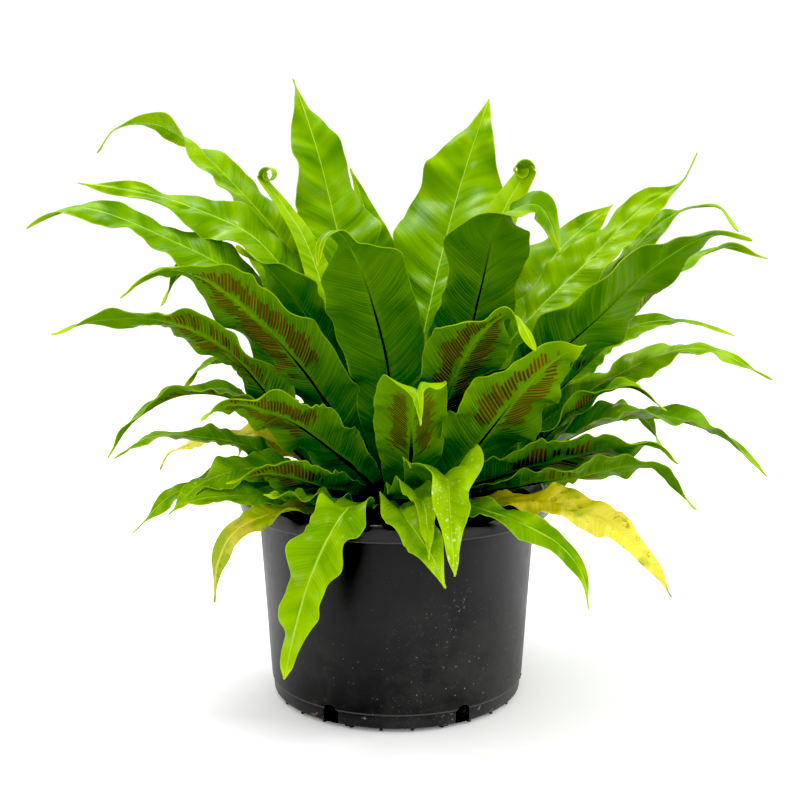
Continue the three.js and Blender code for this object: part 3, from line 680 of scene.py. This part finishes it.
def liveFinish():
    skin = finish("frondSkin")
    along, off, edge = skin.attribute("bladePlace")
    t, under, seed = skin.attribute("bladeShare")
    tone, dust = skin.attribute("bladeTone")[:2]
    soriFirst = skin.attribute("bladeSori")[0]
    where = skin.objectPlace()
    reach, root, hand, fine, wide = veinLines(skin, along, off, seed)
    patches = skin.grain(where, 9.0, 2.0)
    band = skin.grain(skin.joined(root / veins["band"], reach * 9, seed * 3 + hand * 6), 1.0, 1.0, 0.4)
    share = reach / (reach + edge + 0.0005)
    distal = t.under(0.60, 0.85)  # fades the fine lines out toward the tip, where they would only flicker

    groove = abs((root / veins["pitch"] + fine * 0.9 + wide * 1.5).math("FRACT") - 0.5).under(0.10, 0.42)
    drawn = share.over(0.04, 0.16) * share.under(0.60, 0.95) * t.over(0.10, 0.25)
    lines = groove * drawn * patches.over(0.35, 0.6) * distal
    # pale streaks along the veins: partly the veins' own paler colour, partly a painted satin highlight
    paleStreakAndSheen = fine.over(0.40, 0.62) * distal

    # painted light and shade: the band term lightens and darkens the colour in step with the bulges that band
    # also raises in the relief
    light = tone * 0.5 + (patches - 0.5) * 0.8 + (wide - 0.5) * 0.5 + (band - 0.5) * 1.6 + t * 0.6 + 0.08
    ribHalf = 0.0012 - t * 0.0008
    over = skin.coats(leafTones["deep"], leafTones, [
        (light.over(-0.25, 0.55), "middle"),
        (light.over(0.35, 1.25) * 0.85, "pale"),
        (paleStreakAndSheen * 0.20, "pale"),
        (lines * 0.22, "deep"),
        ((reach / ribHalf).under(0.6, 1.2) * 0.75, "ribOver"),
    ])
    # the band term paints the same light and shade of the bulges on the lower skin
    dim = tone * 0.5 + (patches - 0.5) * 0.7 + (wide - 0.5) * 0.35 + (band - 0.5) * 0.5 + t * 0.35 + 0.2
    # painted shade: the lower skin starts from darker greens than the upper one
    below = skin.coats(leafTones["underDeepShaded"], leafTones, [
        (dim.over(-0.2, 0.9), "underMiddleShaded"),
        (paleStreakAndSheen * 0.10, "pale"),
        (lines * 0.60, "underLine"),
    ])
    ribDark = (t - (soriFirst + 0.12).math("MINIMUM", 0.70)).under(-0.13, 0.13)
    ribTone = skin.blend(ribDark, leafTones["ribUnderGreen"], leafTones["ribUnderDark"])
    below = skin.blend((reach / (ribHalf * 1.1)).under(0.7, 1.3), below, ribTone)
    strokes, soriTone = leafSori(skin, root, hand, seed, t, share)
    sori = strokes * under
    below = skin.blend(sori * 0.96, below, soriTone)

    margin = edge.under(0.0002, 0.0010) * t.over(0.04, 0.12)
    small = skin.spots(where, 330.0, 0.36, 0.45) * 0.7
    specks = skin.spots(where, 170.0, 0.30, 0.35).math("MAXIMUM", small)
    color = skin.coats(skin.blend(under, over, below), leafTones, [
        (margin * (0.5 - under * 0.25), "margin"),
        (t.over(0.90, 1.0) * 0.5, "margin"),
        (specks * dust * patches.over(0.42, 0.60) * 0.6, "dust"),
        (t.under(0.02, 0.06), "stalk"),
    ])

    roughness = 0.52 + (wide - 0.5) * 0.12
    gloss = (1 - under) * (distal * 0.6 + 0.4) * (0.20 + (wide - 0.5) * 0.35 + (band - 0.5) * 0.4)
    height = (fine * 0.24 + wide * 2.0 + band * 2.5) * (distal * 0.85 + 0.15) + sori * 0.5
    constants = {"Specular IOR Level": 0.12, "Coat Roughness": 0.24, "Coat IOR": 1.4,
                 "Emission Strength": 0.13}  # the glow stands for light that shines through a leaf
    return skin.surface(constants, color=color, glow=color, roughness=roughness, coat=gloss,
                        normal=skin.bump(height, 0.0011, 0.9))


def oldFinish():
    skin = finish("oldFrondSkin")
    along, off = skin.attribute("bladePlace")[:2]
    t, _, seed = skin.attribute("bladeShare")
    tone = skin.attribute("bladeTone")[0]
    where = skin.objectPlace()
    reach, root, hand, fine, wide = veinLines(skin, along, off, seed)
    patches = skin.grain(where, 24.0, 3.0, 0.6)
    small = skin.grain(where, 150.0, 2.0, 0.6)
    green = (patches + (wide - 0.5) * 0.15 - tone * 0.055).over(0.54, 0.66)
    color = skin.coats(oldTones["yellow"], oldTones, [
        (fine.over(0.30, 0.80) * 0.5, "lemon"),
        (t.under(0.15, 0.50) * 0.8 - tone * 0.3, "olive"),
        (green * 0.7, "green"),
        ((small + patches * 0.4).over(0.82, 0.90) * 0.6, "brown"),
        ((reach / 0.0011).under(0.6, 1.2) * 0.6, "rib"),
        (t.over(0.95, 1.0) * 0.8, "brown"),
        (t.under(0.03, 0.12), "stalk"),
    ])
    return skin.surface({"Specular IOR Level": 0.3}, color=color, roughness=patches * 0.15 + 0.42,
                        normal=skin.bump(fine * 0.15 + wide * 1.1, 0.0012, 0.9))


def buildFronds():
    finishes = dict(live=liveFinish(), old=oldFinish())
    for number, given in enumerate(fronds, 1):
        frond = {**plain, "number": number, "face": given["at"][1], **given}
        frond["spine"] = spineOf(frond)
        buildFrond(frond, finishes)
    print("fronds:", len(fronds))


# The pot is one turned shell, with drains cut out and small feet added
pot = dict(
    steps=160,
    height=201,
    rimRadius=150,
    rimFoot=184,
    wallTop=132,  # outer radius under the rim
    base=120.5,  # outer radius at the bottom
    wall=3,
    gap=3,  # from the floor to the underside
    floor=4,  # thickness of the bottom
    stepAt=17,  # height of the step line
    drains=6,
    drainFirst=300,  # degrees
    drainSize=(14, 17),  # width, and height with the arch
    drainReach=12,  # how far the cutter stands to both sides of the wall
    drainLevel=14,
    feet=8,
    foot=(14, 9),
    footInset=15,  # from the edge of the bottom to the middle of a foot
    nubs=26,
    nub=(3.4, 3.0, 2.4),
    nubInset=4.5,
    padRadius=12,
    softEdge=0.5,
    sharp=38,
)

potTones = dict(
    deep=(0.0060, 0.0060, 0.0064, 1),
    plain=(0.0085, 0.0085, 0.0090, 1),
    foot=(0.10, 0.10, 0.105, 1),
    dust=(0.13, 0.125, 0.115, 1),
    speck=(0.36, 0.31, 0.24, 1),
    mote=(0.26, 0.25, 0.23, 1),
    drip=(0.34, 0.33, 0.31, 1),
    # painted highlight for the step and lip lines
    ledgeHighlight=(0.16, 0.16, 0.165, 1),
    crust=(0.30, 0.21, 0.12, 1),
)


def wallRadius(z):
    return pot["base"] + (pot["wallTop"] - pot["base"]) * (z - pot["gap"]) / (pot["rimFoot"] - pot["gap"])


def arc(centre, radius, first, last, steps):  # points of a round stretch of a profile
    angles = [math.radians(first + (last - first) * i / steps) for i in range(steps + 1)]
    return [(centre[0] + radius * math.cos(a), centre[1] + radius * math.sin(a)) for a in angles]


def potProfile():  # radius and height, from the middle of the underside out, up, over the rim and back inside
    foot, step, top = pot["gap"], pot["stepAt"], pot["height"]
    base, neck, rim = pot["base"], pot["wallTop"], pot["rimRadius"]
    outer = wallRadius(step)
    profile = [(0, foot), (60, foot), (base - 6, foot)]
    profile += arc((base - 5, foot + 4), 4, -90, 0, 5)
    profile += [(outer - 1.15, step - 0.4), (outer - 0.9, step)]
    profile += [(outer - 0.15, step + 0.5), (outer, step + 1)]
    profile += [(wallRadius(z), z) for z in range(30, 185, 14)]
    profile += [(neck + 0.3, top - 15), (neck + 1.5, top - 13.5), (rim - 4.5, top - 13.5)]
    profile += [(rim - 3.4, top - 14.8), (rim - 3.0, top - 16.7)]  # the lip that hangs under the rim
    profile += arc((rim - 1.9, top - 16.1), 0.9, -150, 0, 5)
    profile += [(rim - 0.8, top - 14.8), (rim - 0.2, top - 13.6)]
    profile += arc((rim - 7, top - 7), 7, 0, 90, 9)
    profile += arc((rim - 8.5, top - 3.5), 3.5, 90, 180, 5)
    profile += [(neck - pot["wall"] + 1, top - 12), (neck - pot["wall"], top - 15)]
    profile += [(wallRadius(z) - pot["wall"], z) for z in range(170, 15, -30)]
    profile += [(base - 6, foot + pot["floor"]), (0, foot + pot["floor"])]
    return profile


def turnedShell(profile, steps):  # a closed shell spun about the upright axis
    bm = bmesh.new()
    verts = [bm.verts.new((x * mm, 0, z * mm)) for x, z in profile]
    edges = [bm.edges.new(pair) for pair in zip(verts, verts[1:])]
    bmesh.ops.spin(bm, geom=verts + edges, axis=(0, 0, 1), cent=(0, 0, 0), steps=steps,
                   angle=math.tau, use_merge=True)
    bmesh.ops.remove_doubles(bm, verts=bm.verts, dist=1e-6)
    bmesh.ops.recalc_face_normals(bm, faces=bm.faces)
    return bm


def drainAngles():
    return [math.radians(pot["drainFirst"] + 360 / pot["drains"] * k) for k in range(pot["drains"])]


def drainCutters():  # arched openings through the lower wall
    bm = bmesh.new()
    width, height = pot["drainSize"]
    sill = pot["gap"] + 1
    for angle in drainAngles():
        turn = Matrix.Rotation(angle, 4, "Z")
        outline = [(-width / 2, sill)] + arc((0, sill + height - width / 2), width / 2, 180, 0, 12)
        outline += [(width / 2, sill)]
        near = pot["base"] - pot["drainReach"]
        face = bm.faces.new([bm.verts.new(turn @ (Vector((near, x, z)) * mm)) for x, z in outline])
        pushed = bmesh.ops.extrude_face_region(bm, geom=[face])
        moved = [g for g in pushed["geom"] if isinstance(g, bmesh.types.BMVert)]
        bmesh.ops.translate(bm, verts=moved, vec=turn @ Vector((2 * pot["drainReach"] * mm, 0, 0)))
    bmesh.ops.recalc_face_normals(bm, faces=bm.faces)
    return bm


def blockRing(bm, count, start, size, inset, level):  # soft-edged blocks round the underside
    for k in range(count):
        made = bmesh.ops.create_cube(bm, size=1)
        bmesh.ops.scale(bm, verts=made["verts"], vec=[s * mm for s in size])
        corners = list({e for v in made["verts"] for e in v.link_edges})
        made = bmesh.ops.bevel(bm, geom=corners, offset=pot["softEdge"] * mm, offset_type="OFFSET",
                               segments=2, profile=0.5, affect="EDGES", material=-1)
        verts = list({v for f in made["faces"] for v in f.verts})
        turn = Matrix.Rotation(math.tau * (k + start) / count, 3, "Z")
        bmesh.ops.translate(bm, verts=verts, vec=Vector((pot["base"] - inset, 0, level)) * mm)
        bmesh.ops.rotate(bm, verts=verts, cent=(0, 0, 0), matrix=turn)


def cutBy(target, bm):  # takes the cutter's shape out of a piece for good
    cutter = placed("cutter", meshOf("cutter", bm))
    cut = target.modifiers.new("drains", "BOOLEAN")
    cut.operation = "DIFFERENCE"
    cut.solver = "EXACT"
    cut.object = cutter
    graph = bpy.context.evaluated_depsgraph_get()
    result = bpy.data.meshes.new_from_object(target.evaluated_get(graph))
    target.modifiers.clear()
    target.data = result
    bpy.data.objects.remove(cutter)


def potFinish():  # heights in it are metres above the floor
    skin = finish("potPlastic")
    where = skin.objectPlace()
    x, y, z = skin.apart(where)
    cloud = skin.grain(where, 7.0, 3.0, 0.55)
    low = z.under(0.02, 0.15)
    dust = (cloud * 0.7 + skin.grain(where, 60.0, 5.0, 0.7) * 0.5).over(0.52, 0.78)
    splashed = (low * 0.85 + 0.15) * (x.over(-0.08, 0.08) * 0.7 + 0.3)
    specks = skin.spots(where, 230.0, 0.15, 0.16) * splashed
    motes = skin.spots(where, 560.0, 0.24, 0.30) * skin.grain(where, 26.0).over(0.46, 0.62) * splashed
    trail = abs(x - z * 0.06 - 0.046).under(0.003, 0.014) * y.under(-0.06, -0.02) * z.under(0.10, 0.16)
    drips = skin.grain(where, 260.0, 3.0, 0.7).over(0.60, 0.70) * skin.grain(where, 55.0).over(0.46, 0.60)
    # painted highlights: thin light lines along the step and under the rim's lip, where the step and the lip
    # catch the light
    stepHighlight = abs(z - 0.0174).under(0.0004, 0.0014) * 0.30
    lipHighlight = abs(z - 0.1846).under(0.0003, 0.0012) * 0.22
    crust = skin.grain(where, 90.0, 4.0, 0.7).over(0.64, 0.70) * z.under(0.012, 0.030)
    color = skin.coats(potTones["deep"], potTones, [
        (cloud.over(0.35, 0.7), "plain"),
        (z.under(0.008, 0.020) * 0.12, "foot"),
        (dust * (low * 0.07 + 0.03), "dust"),
        (specks * 0.7, "speck"),
        (motes * 0.5, "mote"),
        (drips * trail * 0.6, "drip"),
        (stepHighlight + lipHighlight, "ledgeHighlight"),
        (crust * 0.7, "crust"),
    ])
    scuffs = skin.grain(skin.joined(x * 60, y * 60, z * 900), 1.0, 2.0, 0.6).over(0.60, 0.75)
    rim = z.over(0.183, 0.189)
    roughness = 0.40 - rim * 0.10 + dust * 0.10 + scuffs * 0.06
    pits = skin.cells(where, 150.0).under(0.05, 0.12)
    height = skin.grain(where, 900.0) * 0.06 + cloud * 0.3 - pits * 0.35
    constants = {"Specular IOR Level": 0.32, "Coat Roughness": 0.10}
    return skin.surface(constants, color=color, roughness=roughness, coat=rim * 0.12,
                        normal=skin.bump(height, 0.0006, 0.6))


def buildPot(material):
    piece = finished("potShell", turnedShell(potProfile(), pot["steps"]), material, pot["sharp"])
    cutBy(piece, drainCutters())
    bm = bmesh.new()
    bm.from_mesh(piece.data)
    tall = pot["gap"] + 1  # the feet and the pad reach a little into the bottom
    blockRing(bm, pot["feet"], 0.5, (*pot["foot"], tall), pot["footInset"], tall / 2)
    blockRing(bm, pot["nubs"], 0, pot["nub"], pot["nubInset"], pot["gap"] - 0.4)
    pad = bmesh.ops.create_cone(bm, cap_ends=True, segments=40, radius1=pot["padRadius"] * mm,
                                radius2=pot["padRadius"] * mm, depth=tall * mm)
    bmesh.ops.translate(bm, verts=pad["verts"], vec=(0, 0, tall / 2 * mm))
    bm.to_mesh(piece.data)
    bm.free()
    piece.data.shade_smooth()
    piece.data.set_sharp_from_angle(angle=math.radians(pot["sharp"]))
    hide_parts("pot")
    print("pot:", len(piece.data.polygons), "faces")


# The soil is a turned body with an uneven top, and carries chips and crumbs
soil = dict(
    steps=120,
    rings=22,
    top=184,
    edge=181,  # its height along the pot's wall
    slope=40,
    foot=7.4,
    inset=3.6,  # from the pot's outer wall
    lumps=2.6,
    lumpSize=9,
    chips=520,
    chipLength=(4, 11),
    chipWidth=(0.3, 0.6),  # shares of the length
    chipHeight=(0.2, 0.4),
    chipSpread=(0.12, 0.98),
    chipInset=0.97,
    chipLift=0.6,
    drainCrumbs=9,  # in each drain
    drainCrumbSize=(1.6, 3.4),
    drainCrumbSpread=4.6,
    drainCrumbDepth=(1.2, 3.2),
    drainCrumbHeight=(7, 17),
    sharp=60,
)

earthTones = dict(
    dark=(0.018, 0.015, 0.012, 1),
    light=(0.055, 0.044, 0.033, 1),
    bits=(0.19, 0.13, 0.075, 1),
    # painted shade for the soil inside the drains
    drainShade=(0.004, 0.0035, 0.003, 1),
    crownDark=(0.024, 0.020, 0.012, 1),
    crownLight=(0.065, 0.045, 0.022, 1),
    crownHair=(0.12, 0.075, 0.03, 1),
)


def crumb(bm, size, place, turn, squash):
    verts = bmesh.ops.create_icosphere(bm, subdivisions=1, radius=size * mm)["verts"]
    bmesh.ops.scale(bm, verts=verts, vec=squash)
    for vert in verts:
        vert.co *= 1 + 0.45 * noise.noise(vert.co / (size * mm) + place)
    bmesh.ops.rotate(bm, verts=verts, cent=(0, 0, 0), matrix=turn)
    bmesh.ops.translate(bm, verts=verts, vec=place * mm)


def randomTurn(draw):
    axis = Vector((draw.gauss(0, 1), draw.gauss(0, 1), draw.gauss(0, 1))).normalized()
    return Matrix.Rotation(draw.uniform(0, math.tau), 3, axis)


def soilFinish():
    skin = finish("pottingMix")
    where = skin.objectPlace()
    coarse = skin.grain(where, 120.0, 4.0, 0.65)
    fine = skin.grain(where, 600.0, 3.0, 0.6)
    bits = skin.cells(where, 260.0).under(0.10, 0.2) * coarse.over(0.45, 0.6)
    low = skin.apart(where)[2].under(0.02, 0.05)  # what shows in the drains
    color = skin.coats(earthTones["dark"], earthTones, [
        (coarse.over(0.35, 0.65), "light"),
        (bits * 0.5, "bits"),
        # painted shade: the soil inside the drain openings is darkened toward black
        (low * (1 - bits) * 0.6, "drainShade"),
    ])
    return skin.surface({"Specular IOR Level": 0.25}, color=color, roughness=0.85 + fine * 0.1,
                        normal=skin.bump(coarse + fine * 0.4, 0.003, 1.0))


def buildSoil(material):
    draw = random.Random(7)
    outer = wallRadius(soil["edge"]) - soil["inset"]

    def topAt(r):
        return soil["edge"] + (soil["top"] - soil["edge"]) * smooth((outer - r) / soil["slope"])

    profile = [(0, soil["foot"])]
    profile += [(wallRadius(z) - soil["inset"], z) for z in (soil["foot"], 60, 120, 176)]
    rings = [outer * (1 - i / soil["rings"]) for i in range(soil["rings"] + 1)]
    profile += [(r, topAt(r)) for r in rings]
    bm = turnedShell(profile, soil["steps"])
    for vert in bm.verts:
        if vert.co.z > (soil["edge"] - 4) * mm:
            place = vert.co / (soil["lumpSize"] * mm)
            vert.co.z += soil["lumps"] * mm * (noise.noise(place) * 0.7 + noise.noise(place * 2.7) * 0.4)
    for _ in range(soil["chips"]):
        r = outer * math.sqrt(draw.uniform(*soil["chipSpread"]))
        a = draw.uniform(0, math.tau)
        size = draw.uniform(*soil["chipLength"]) / 2
        place = polar(r * soil["chipInset"], a, topAt(r) + soil["chipLift"])
        turn = randomTurn(draw)
        crumb(bm, size, place, turn, (1, draw.uniform(*soil["chipWidth"]), draw.uniform(*soil["chipHeight"])))
    for middle in drainAngles():  # soil that bulges out of the drain openings
        spread = soil["drainCrumbSpread"] / pot["base"]
        for _ in range(soil["drainCrumbs"]):
            a = middle + draw.uniform(-spread, spread)
            r = wallRadius(pot["drainLevel"]) - draw.uniform(*soil["drainCrumbDepth"])
            place = polar(r, a, draw.uniform(*soil["drainCrumbHeight"]))
            crumb(bm, draw.uniform(*soil["drainCrumbSize"]), place, randomTurn(draw), (1, 0.8, 0.7))
    bmesh.ops.recalc_face_normals(bm, faces=bm.faces)
    piece = finished("pottingMix", bm, material, soil["sharp"])
    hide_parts("soil")
    print("soil:", len(piece.data.polygons), "faces")


def crownFinish():
    skin = finish("crownScales")
    where = skin.objectPlace()
    patch = skin.grain(where, 70.0, 3.0, 0.6)
    hair = skin.grain(where, 420.0, 3.0, 0.7)
    color = skin.coats(earthTones["crownDark"], earthTones, [
        (patch.over(0.35, 0.7), "crownLight"),
        (hair.over(0.55, 0.75) * 0.5, "crownHair"),
    ])
    return skin.surface({"Specular IOR Level": 0.3}, color=color, roughness=0.7 + patch * 0.2,
                        normal=skin.bump(hair + patch, 0.0012, 0.8))


def buildCrown(material):
    draw = random.Random(3)
    radius, height, foot = crown["radius"], crown["height"], crown["foot"]
    quarter = [i / crown["rows"] * math.pi / 2 for i in range(crown["rows"])]
    profile = [(0, foot)] + [(radius * math.cos(a), foot + height * math.sin(a)) for a in quarter]
    bm = turnedShell(profile + [(0, foot + height)], crown["steps"])
    for vert in bm.verts:
        if vert.co.z > (foot + 2) * mm:
            vert.co.z -= crown["lumps"] * mm * (0.6 + noise.noise(vert.co / (crown["lumpSize"] * mm)))
    for _ in range(crown["scales"]):  # slim pointed scales that lean outwards
        r = radius * math.sqrt(draw.uniform(*crown["scaleSpread"]))
        a = draw.uniform(0, math.tau)
        length = draw.uniform(*crown["scaleLength"])
        width = draw.uniform(*crown["scaleWidth"])
        lean = math.radians(draw.uniform(*crown["scaleLean"]))
        turn = Matrix.Rotation(a, 3, "Z") @ Matrix.Rotation(lean, 3, "Y")
        turn = turn @ Matrix.Rotation(draw.uniform(-1, 1), 3, "Z")
        verts = bmesh.ops.create_cone(bm, cap_ends=True, segments=5, radius1=width / 2 * mm,
                                      radius2=0.1 * mm, depth=length * mm)["verts"]
        bmesh.ops.translate(bm, verts=verts, vec=(0, 0, length / 2 * mm))
        bmesh.ops.scale(bm, verts=verts, vec=(1, crown["scaleFlatness"], 1))
        bmesh.ops.rotate(bm, verts=verts, cent=(0, 0, 0), matrix=turn)
        place = polar(r, a, crownTop(r) - crown["scaleSink"]) * mm
        bmesh.ops.translate(bm, verts=verts, vec=place)
    bmesh.ops.recalc_face_normals(bm, faces=bm.faces)
    piece = finished("crownScales", bm, material, crown["sharp"])
    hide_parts("crown")
    print("crown:", len(piece.data.polygons), "faces")


def buildFloor():
    bm = bmesh.new()
    bmesh.ops.create_grid(bm, x_segments=1, y_segments=1, size=studio["floorSize"] / 2)
    mesh = meshOf("floor", bm)
    skin = finish("floorPaint")
    constants = {"Specular IOR Level": 0.1, "Emission Color": (1, 1, 1, 1),
                 "Emission Strength": studio["floorGlow"]}
    mesh.materials.append(skin.surface(constants, color=studio["floorTone"], roughness=0.9))
    placed("floor", mesh)


buildCamera()
buildLights()
buildSky()
buildFloor()
buildPot(potFinish())
buildSoil(soilFinish())
buildCrown(crownFinish())
buildFronds()
